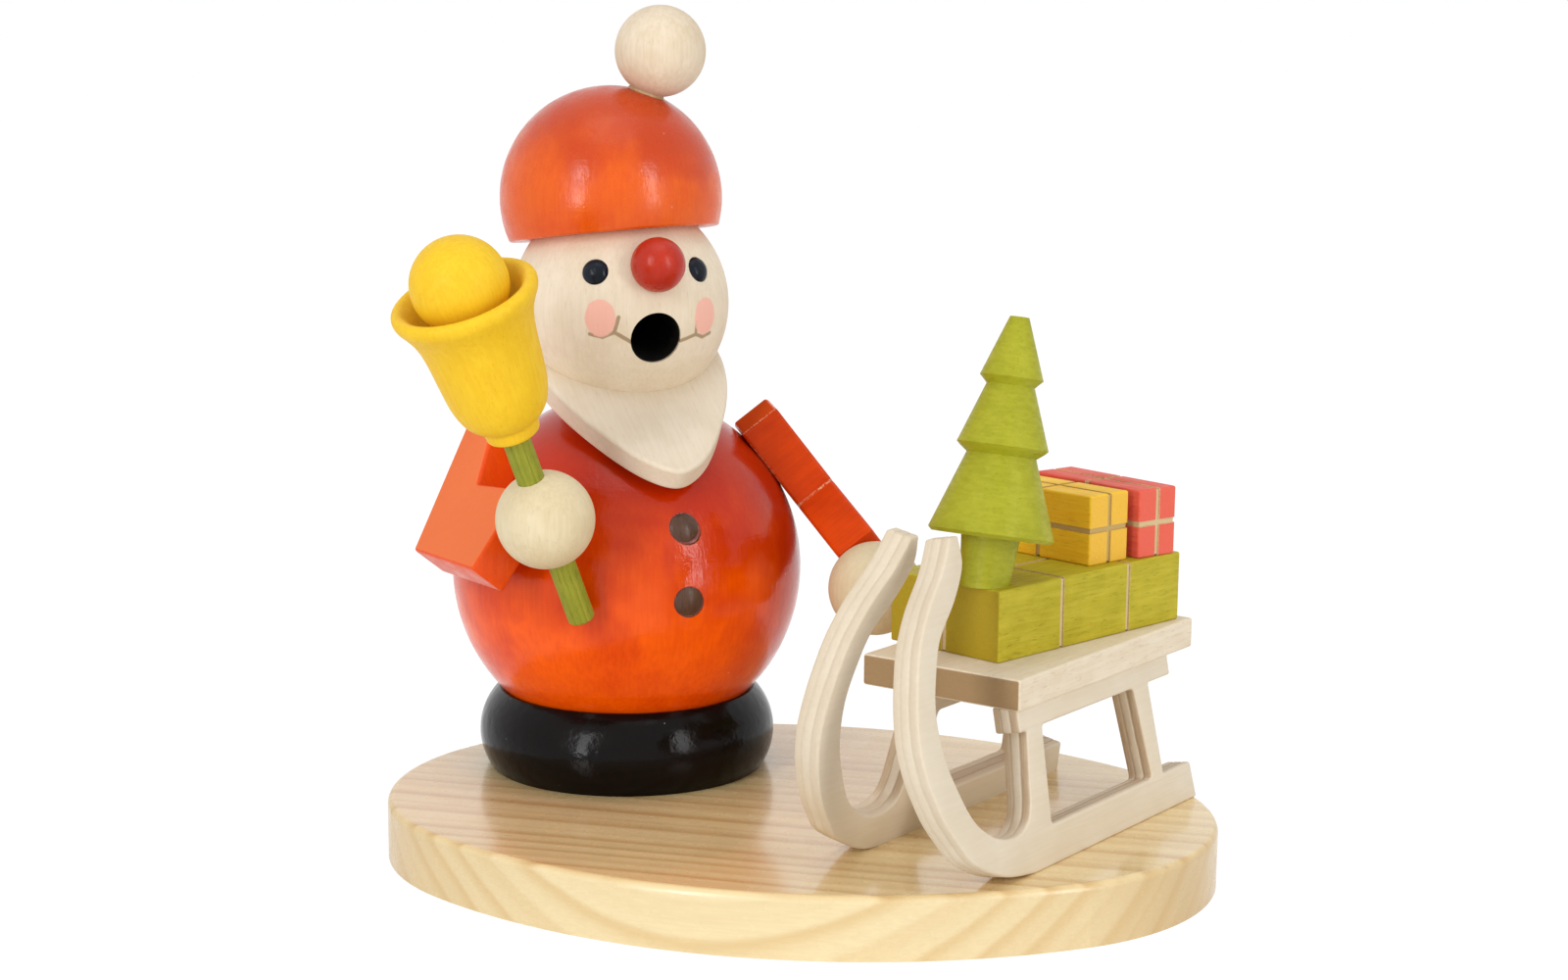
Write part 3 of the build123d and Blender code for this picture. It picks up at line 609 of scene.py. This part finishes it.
def fluted_ring(height, chamfer):
    ring = []
    for i in range(FLUTES * POINTS_PER_FLUTE):
        angle = 2 * math.pi * i / (FLUTES * POINTS_PER_FLUTE)
        groove = max(0.0, math.cos(FLUTES * angle)) ** 1.5
        radius = STICK_RADIUS - chamfer - FLUTE_DEPTH * groove
        ring.append((radius * math.cos(angle), radius * math.sin(angle), height))
    return ring


stick_rings = [fluted_ring(STICK_START, STICK_CHAMFER), fluted_ring(STICK_START + STICK_CHAMFER, 0),
               fluted_ring(STICK_END - STICK_CHAMFER, 0), fluted_ring(STICK_END, STICK_CHAMFER)]
stick = piece_from("grooved_stick", lofted(stick_rings), bell_frame, green_stick, "figure")
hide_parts("bell_stick")

# Bell: turned, with a thick round lip and a shallow cup that the ball sits in. Its points are a radius and a
# height above its foot.
BELL_FOOT, BELL_BORE, BELL_POINTS = 16.4, 2.0, 96
BELL_OUTSIDE = [(3.9, 0), (4.35, 0.35), (4.5, 1.0), (4.5, 1.9), (4.8, 2.4), (5.8, 3.1), (7.1, 4.8),
                (8.1, 7.8), (8.6, 11.7), (8.95, 15.5), (9.4, 18.6), (10.1, 20.9), (11.0, 22.7), (11.7, 23.9)]
BELL_LIP = [(11.95, 24.9), (11.75, 25.7), (11.1, 26.1), (10.3, 25.9), (9.6, 25.1)]
BELL_CUP = [(8.9, 24.0), (8.0, 22.6), (6.6, 21.2), (4.4, 20.1), (1.0, 19.6)]
bell_profile = [(BELL_BORE, 0)] + smooth_line(BELL_OUTSIDE + BELL_LIP + BELL_CUP, 4)
bell_rings = [circle(radius, BELL_FOOT + height, BELL_POINTS) for radius, height in bell_profile]
turned_bell = piece_from("turned_bell", lofted(bell_rings), bell_frame, yellow, "figure",
                         sharp=50)
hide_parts("bell")

# Bell arm: upper sleeve and forearm glued so well that they read as one bent piece
SLEEVE_THICKNESS, SLEEVE_ROUND = 7.7, 0.7
BELL_SLEEVE = [(-9.8, -7.0), (-2.2, -7.0), (4.6, 6.0), (17.4, 4.9), (17.4, 20.7), (-1.8, 20.5)]
lower, upper = rounded_edge(0, SLEEVE_THICKNESS, SLEEVE_ROUND)
sleeve_mesh = plate([rounded(BELL_SLEEVE, SLEEVE_ROUND)], lower + upper)
bell_sleeve = piece_from("bell_sleeve", sleeve_mesh, sleeve_frame(-1), right_red, "figure",
                         sharp=50)
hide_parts("upper_arm_right", "forearm_right")

# Lacquer that has gathered round the buttons, more below and to one side
BUTTON_RADIUS, BUTTON_RISES = 2.45, {"upper": 22.5, "lower": -0.8}
RING_STEPS, TUBE_STEPS, WELD = 72, 12, 0.0005
FULL_SIDE, THIN = math.radians(-50), 0.10


def lacquer_ring(fullness):
    """Ring about Z on the ball of the belly, thickest towards one side; drawn from the ball's middle."""
    rings = []
    for i in range(RING_STEPS):
        angle = 2 * math.pi * i / RING_STEPS
        swell = THIN + fullness * max(0.0, math.cos(angle - FULL_SIDE)) ** 2
        middle = BUTTON_RADIUS + swell * 0.8
        height = math.sqrt(BELLY_RADIUS ** 2 - middle ** 2) - swell * 0.35
        ring = []
        for j in range(TUBE_STEPS):
            turn = 2 * math.pi * j / TUBE_STEPS
            reach = middle + swell * 1.1 * math.cos(turn)
            ring.append((reach * math.cos(angle), reach * math.sin(angle), height + swell * math.sin(turn)))
        rings.append(ring)
    return lofted(rings + [rings[0]], capped=False)


def lacquer():
    g = Finish("gathered_lacquer", Specular_IOR_Level=0.6)
    place = g.local(belly)
    cloud = g.step(g.noise(place, 1.4, 2.0), 0.3, 0.7)
    colour = g.mix(cloud, tone("7A2A10"), tone("561C0E"))
    return g.done(colour, g.step(cloud, 0.0, 1.0, 0.08, 0.2), g.noise(place, 2.4, 2.0), 0.05)


lacquer_finish = lacquer()
for name, fullness in (("upper", 0.34), ("lower", 0.12)):
    rise = math.radians(BUTTON_RISES[name])
    button_frame = along(belly, (0, 0, 0), (0, -math.cos(rise), math.sin(rise)), (0, 0, 1))
    ring_mesh = lacquer_ring(fullness)
    bmesh.ops.remove_doubles(ring_mesh, verts=ring_mesh.verts, dist=WELD)
    piece_from("lacquer_round_button_" + name, ring_mesh, button_frame, lacquer_finish, "figure")

# Pale shoulder of the peg, seen as a crescent where the pompom meets the cap
SHOULDER, SHOULDER_POINTS = [(3.3, -0.1), (3.25, 0.2), (3.0, 0.5), (2.4, 0.6)], 48
pompom_up = leaning(POMPOM_SIDE, POMPOM_FORWARD)
shoulder_frame = along(figure, CAP_CENTRE + pompom_up * CAP_FLAT, pompom_up)
shoulder_rings = [circle(radius, height, SHOULDER_POINTS) for radius, height in SHOULDER]
shoulder_wood = raw_beech("beech_shoulder", figure, "CDB088", "9C7A50")
piece_from("peg_shoulder", lofted(shoulder_rings), shoulder_frame, shoulder_wood, "figure")

# Sledge and its load. A ply joint lies PLY to each side of the middle of a side piece.
SIDE_LEAN, SIDE_THICKNESS, HALF_WIDTH, PLY = math.radians(10.9), 4.7, 16.3, 0.8


def plate_frame(side):
    """Frame of a side piece, right (1) or left (-1): X forward, Y up its slope, Z square to it from its
    middle."""
    ahead = Vector((0, -1, 0))
    slope = Vector((-side * math.sin(SIDE_LEAN), 0, math.cos(SIDE_LEAN)))
    half = SIDE_THICKNESS / 2
    spot = Vector((side * (HALF_WIDTH - half * math.cos(SIDE_LEAN)), 0, -half * math.sin(SIDE_LEAN)))
    turn = Matrix((ahead, slope, ahead.cross(slope))).transposed().to_4x4()
    return at(sled, spot) @ turn


def plywood(name, frame_of_side):
    """Three plies: the outer ones show brown end grain on the legs, the middle one on the rail and the
    runner.
    There the brown edges are painted much stronger than on the horns: partly end grain, partly painted shade
    under the seat."""
    g = Finish(name, Specular_IOR_Level=0.3)
    place = g.local(frame_of_side)
    x, _, z = g.parts(place)
    axes = [world_axis(frame_of_side, axis) for axis in ((1, 0, 0), (0, 1, 0), (0, 0, 1))]
    along_face, up_face, flat_face = [g.math("ABSOLUTE", g.facing(axis)) for axis in axes]
    edge = g.step(flat_face, 0.8, 0.45)
    fibres = grain(g, place, (0.06, 1, 1), 1.3)
    cloud = g.step(g.noise(place, 0.12, 2.0), 0.3, 0.7)
    depth = add(g, product(g, cloud, 0.4), product(g, fibres, 0.22))
    colour = g.mix(depth, tone("E1D3BC"), tone("D8C7AB"))
    wave = product(g, g.math("SUBTRACT", g.noise(g.scaled(place, (0.4, 0.4, 0)), 0.6), 0.5), 0.35)
    away = add(g, g.math("ABSOLUTE", z), wave)
    outer = g.step(away, PLY - 0.12, PLY + 0.16)
    inner = g.math("SUBTRACT", 1.0, outer)
    # Brown edges and ply lines are far stronger on the legs, rail and runner than on the horns: partly
    # painted shade under the seat
    window = g.step(x, 58.0, 53.0, 0.16, 0.72)
    end_grain = add(g, product(g, outer, g.step(along_face, 0.3, 0.85)),
                    product(g, inner, g.step(up_face, 0.5, 0.95), 0.55))
    streaks = g.step(g.noise(g.scaled(place, (0.5, 0.15, 3)), 1.5, 3.0, 0.6), 0.25, 0.7, 0.62, 1.0)
    brown_edges_and_shade = product(g, end_grain, edge, streaks, window)
    colour = g.mix(brown_edges_and_shade, colour, tone("AC8C66"))
    joint = g.math("ABSOLUTE", g.math("SUBTRACT", away, PLY))
    line = product(g, g.step(joint, 0.22, 0.05), edge, window, 0.5)
    colour = g.mix(line, colour, tone("8E6E4C"))
    height = add(g, product(g, fibres, 0.3), product(g, g.step(joint, 0.4, 0.05), edge, -1.2))
    return g.done(colour, g.step(fibres, 0.0, 1.0, 0.55, 0.66), height, 0.05)


# Places in a side piece: forward from its heel and up its slope
HORN_FRONT = [(54.0, 0), (62.6, 1.5), (70.6, 5.4), (74.0, 9.0), (76.9, 12.9), (78.7, 16.5), (80.2, 20.5),
              (81.0, 25.5), (80.5, 30.5), (79.2, 35.5), (77.2, 40.5), (73.6, 45.5), (68.5, 50.5),
              (65.2, 55.2)]
HORN_BACK = [(62.8, 55.2), (62.6, 50.5), (66.1, 45.5), (71.4, 40.5), (73.8, 35.5), (75.2, 30.5), (75.1, 25.5),
             (73.8, 20.5), (69.9, 12.9), (65.6, 9.0), (61.2, 7.2), (57.2, 7.0), (54.4, 8.4), (53.1, 11.0),
             (52.6, 14.0)]
RUNNER_TOP, RAIL_LOW, RAIL_HIGH = 6.35, 22.2, 26.5
RAIL_AND_HEEL = [(51.2, RAIL_LOW), (53.3, RAIL_LOW), (53.3, RAIL_HIGH), (3.5, RAIL_HIGH), (3.5, RAIL_LOW),
                 (11.2, RAIL_LOW), (10.2, RUNNER_TOP), (0.7, RUNNER_TOP), (0, 0)]
WINDOW = [(14.3, RUNNER_TOP), (16.5, RAIL_LOW), (46.3, RAIL_LOW), (47.5, RUNNER_TOP)]
SEAT_UNDERSIDE, RAIL_END, GROOVE_DEPTH, GROOVE_HALF = 25.2, 56.0, 0.08, 0.3
SIDE_CORNER, WINDOW_CORNER, SIDE_ROUND = 0.5, 0.9, 0.5


def sled_side(side):
    """Side piece with round edges and a shallow groove along each joint of its plies, planed level at the
    board and under the seat."""
    outline = rounded(smooth_line(HORN_FRONT) + smooth_line(HORN_BACK) + RAIL_AND_HEEL, SIDE_CORNER)
    window = rounded(WINDOW, WINDOW_CORNER)
    half = SIDE_THICKNESS / 2
    lower, upper = rounded_edge(-half, half, SIDE_ROUND)
    grooves = []
    for joint in (-PLY, PLY):
        grooves += [(joint - GROOVE_HALF, 0), (joint, GROOVE_DEPTH), (joint + GROOVE_HALF, 0)]

    def settle(x, y, z):
        below = (half + side * z) * math.sin(SIDE_LEAN)
        y = max(y, below / math.cos(SIDE_LEAN))
        if x < RAIL_END and y > RAIL_LOW + 1:
            y = min(y, (SEAT_UNDERSIDE + below) / math.cos(SIDE_LEAN))
        return x, y, z

    return plate([outline, window], lower + grooves + upper, settle)


for name, side in (("sled_side_left", -1), ("sled_side_right", 1)):
    frame_of_side = plate_frame(side)
    finish = plywood(name + "_ply", frame_of_side)
    dress(name, finish)
    layered = piece_from("layered_" + name, sled_side(side), frame_of_side, finish, "stand",
                         sharp=50)
    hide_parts(name)
dress("sled_seat", dyed("pale_seat", sled, "EBDDC5", "E0CDB0", "D2BA95", (1, 0.05, 1), rough=(0.54, 0.66),
                        end_axis=world_axis(sled, (0, 1, 0)), end_tone="A2855F"))
dress("tree", dyed("green_wood", along(sled, TREE_PLACE, (0, math.sin(TREE_LEAN), 1)),
                   "ACAA26", "969614", "787A0A", (0.3, 0.3, 1), rough=(0.42, 0.55), coat=0.1, porous=0.2))

TREE_ROUND, SHARP_EDGE = 0.55, math.radians(40)
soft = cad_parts["tree"].modifiers.new("soft_edges", "BEVEL")
soft.width, soft.segments, soft.limit_method, soft.angle_limit = TREE_ROUND * MM, 3, "ANGLE", SHARP_EDGE

RIBBON_HALF = 0.46
# Size across, along and high; middle to the left and forward; turn; base; where ribbons cross it, as shares
# of its length; whether a ribbon goes round it at half height
PARCELS = {
    "parcel_green": ((23.4, 48.4, PARCEL_HEIGHT), (4.6, 20.5), -8.4, PARCEL_BASE, (0.2, -0.167), False),
    "parcel_red": ((25.4, 8.9, 11.8), (3.1, 1.2), -15.0, LOAD_BASE, (0,), True),
    "parcel_yellow": ((23.0, 9.8, PARCEL_HEIGHT), (5.6, 12.8), -11.0, LOAD_BASE, (0,), True),
}
# Light and deep tone, pores, end grain and the parcel's own axis along the grain
PARCEL_TONES = {
    "parcel_green": ("C4B42E", "AA9C1A", "8E820C", "AA921E", (0, 1, 0)),
    "parcel_red": ("EA6A54", "DE5244", "C84638", "E66450", (1, 0, 0)),
    "parcel_yellow": ("FCCE34", "F4B81C", "E0A010", "F0BC42", (1, 0, 0)),
}


def ribbons(length, shares, belt, code):
    """Pale lines in the grooves of a parcel: one along it, some across it and, with a belt, one round it."""
    def paint(g, place, colour):
        x, y, z = g.parts(place)
        nearest = g.math("ABSOLUTE", x)
        for share in shares:
            nearest = g.math("MINIMUM", nearest, g.math("ABSOLUTE", g.math("SUBTRACT", y, share * length)))
        if belt:
            nearest = g.math("MINIMUM", nearest, g.math("ABSOLUTE", z))
        ragged = product(g, g.math("SUBTRACT", g.noise(place, 2.2), 0.5), 0.12)
        line = g.step(add(g, nearest, ragged), RIBBON_HALF + 0.07, RIBBON_HALF - 0.05)
        return g.mix(line, colour, tone(code))
    return paint


for name, (size, middle, turn, base, shares, belt) in PARCELS.items():
    left, forward = middle
    block = at(sled, (-left, -forward, base + size[2] / 2)) @ Matrix.Rotation(math.radians(turn), 4, "Z")
    light, deep, pore, end_code, end = PARCEL_TONES[name]
    fibre = (0.06, 1, 1) if end[0] else (1, 0.06, 1)
    ribbon_code = "C9AA6A" if name == "parcel_yellow" else "D9C294"
    marks = ribbons(size[1], shares, belt, ribbon_code)
    dress(name, dyed(name + "_dye", block, light, deep, pore, fibre, rough=(0.46, 0.6), marks=marks,
                     end_axis=world_axis(block, end), end_tone=end_code))

# Camera, fitted to the photograph
FOCAL_PIXELS, IMAGE_WIDTH, SENSOR = 2716.89, 1600, 36.0
YAW, PITCH, ROLL = 0.201928, 0.172130, 0.009426
CAMERA_PLACE = Vector((85.885, -433.566, 141.308))
level_forward = Vector((-math.sin(YAW), math.cos(YAW), 0))
level_right = Vector((math.cos(YAW), math.sin(YAW), 0))
up = Vector((0, 0, 1))
look = level_forward * math.cos(PITCH) - up * math.sin(PITCH)
tilted_up = up * math.cos(PITCH) + level_forward * math.sin(PITCH)
right = level_right * math.cos(ROLL) + tilted_up * math.sin(ROLL)
camera_up = tilted_up * math.cos(ROLL) - level_right * math.sin(ROLL)
camera_data = bpy.data.cameras.new("camera")
camera_data.sensor_width = SENSOR
camera_data.lens = FOCAL_PIXELS / IMAGE_WIDTH * SENSOR
camera_data.clip_start, camera_data.clip_end = 0.01, 20
camera = bpy.data.objects.new("camera", camera_data)
bpy.context.scene.collection.objects.link(camera)
turn = Matrix((right, camera_up, -look)).transposed().to_4x4()
camera.matrix_world = Matrix.Translation(board_middle + CAMERA_PLACE * MM) @ turn
bpy.context.scene.camera = camera


# Softboxes round the object
LAMP_TARGET = Vector((0, 0, 0.06))


def softbox(name, side_angle, rise_angle, distance, width, height, power):
    """Area lamp that faces the object, placed by its angles round it from the camera's side. Its sizes are in
    metres, its power in watts."""
    side = YAW + math.radians(side_angle)
    rise = math.radians(rise_angle)
    direction = Vector((math.sin(side) * math.cos(rise), -math.cos(side) * math.cos(rise), math.sin(rise)))
    data = bpy.data.lights.new(name, "AREA")
    data.shape = "RECTANGLE"
    data.size, data.size_y, data.energy = width, height, power
    lamp = bpy.data.objects.new(name, data)
    bpy.context.scene.collection.objects.link(lamp)
    spot = LAMP_TARGET + direction * distance
    lamp.matrix_world = Matrix.Translation(spot) @ direction.to_track_quat("Z", "Y").to_matrix().to_4x4()


softbox("softbox_left", -34, 12, 1.0, 0.16, 0.90, 4.6)
softbox("softbox_right", 47, 12, 1.0, 0.16, 0.90, 3.5)
softbox("softbox_top", 0, 80, 1.1, 0.7, 0.7, 1.5)

# World: white to the camera and in reflections, and a softer light on the object
WORLD_LIGHT, WORLD_STRENGTH = (0.96, 0.98, 1, 1), 0.68
world = bpy.data.worlds.new("studio")
bpy.context.scene.world = world
world.use_nodes = True
nodes, links = world.node_tree.nodes, world.node_tree.links
nodes.clear()
out = nodes.new("ShaderNodeOutputWorld")
seen = nodes.new("ShaderNodeBackground")
seen.inputs["Color"].default_value = (1, 1, 1, 1)
lit = nodes.new("ShaderNodeBackground")
lit.inputs["Color"].default_value = WORLD_LIGHT
lit.inputs["Strength"].default_value = WORLD_STRENGTH
rays = nodes.new("ShaderNodeLightPath").outputs
direct = rays["Is Camera Ray"]
for kind in ("Is Glossy Ray", "Is Transmission Ray"):
    either = nodes.new("ShaderNodeMath")
    either.operation = "MAXIMUM"
    links.new(direct, either.inputs[0])
    links.new(rays[kind], either.inputs[1])
    direct = either.outputs[0]
choose = nodes.new("ShaderNodeMixShader")
links.new(direct, choose.inputs[0])
links.new(lit.outputs[0], choose.inputs[1])
links.new(seen.outputs[0], choose.inputs[2])
links.new(choose.outputs[0], out.inputs[0])

# Plain pale floor: white to the camera and in reflections, with a trace of the object's shadow
FLOOR_SIZE, FLOOR_GLOW, FLOOR_GLOW_SHARE = 3.0, 1.09, 0.86
floor_mesh = bmesh.new()
bmesh.ops.create_grid(floor_mesh, x_segments=8, y_segments=8, size=FLOOR_SIZE)
floor_data = bpy.data.meshes.new("floor")
floor_mesh.to_mesh(floor_data)
floor_mesh.free()
floor = bpy.data.objects.new("floor", floor_data)
bpy.context.scene.collection.objects.link(floor)
paper = Finish("paper", Base_Color=tone("EDEDED"), Roughness=0.9, Specular_IOR_Level=0.1)
glow = paper.node("Emission", {"Color": (1, 1, 1, 1), "Strength": FLOOR_GLOW})
ray = paper.node("LightPath").outputs
shown = paper.math("MAXIMUM", paper.math("MAXIMUM", ray["Is Camera Ray"], ray["Is Glossy Ray"]),
                   ray["Is Transmission Ray"])
share = paper.math("MULTIPLY", shown, FLOOR_GLOW_SHARE)
blend = paper.node("MixShader", {0: share, 1: paper.shader.outputs[0], 2: glow.outputs[0]})
paper.links.new(blend.outputs[0], paper.nodes["Material Output"].inputs["Surface"])
floor_data.materials.append(paper.material)

bpy.context.scene.view_settings.view_transform = "Standard"
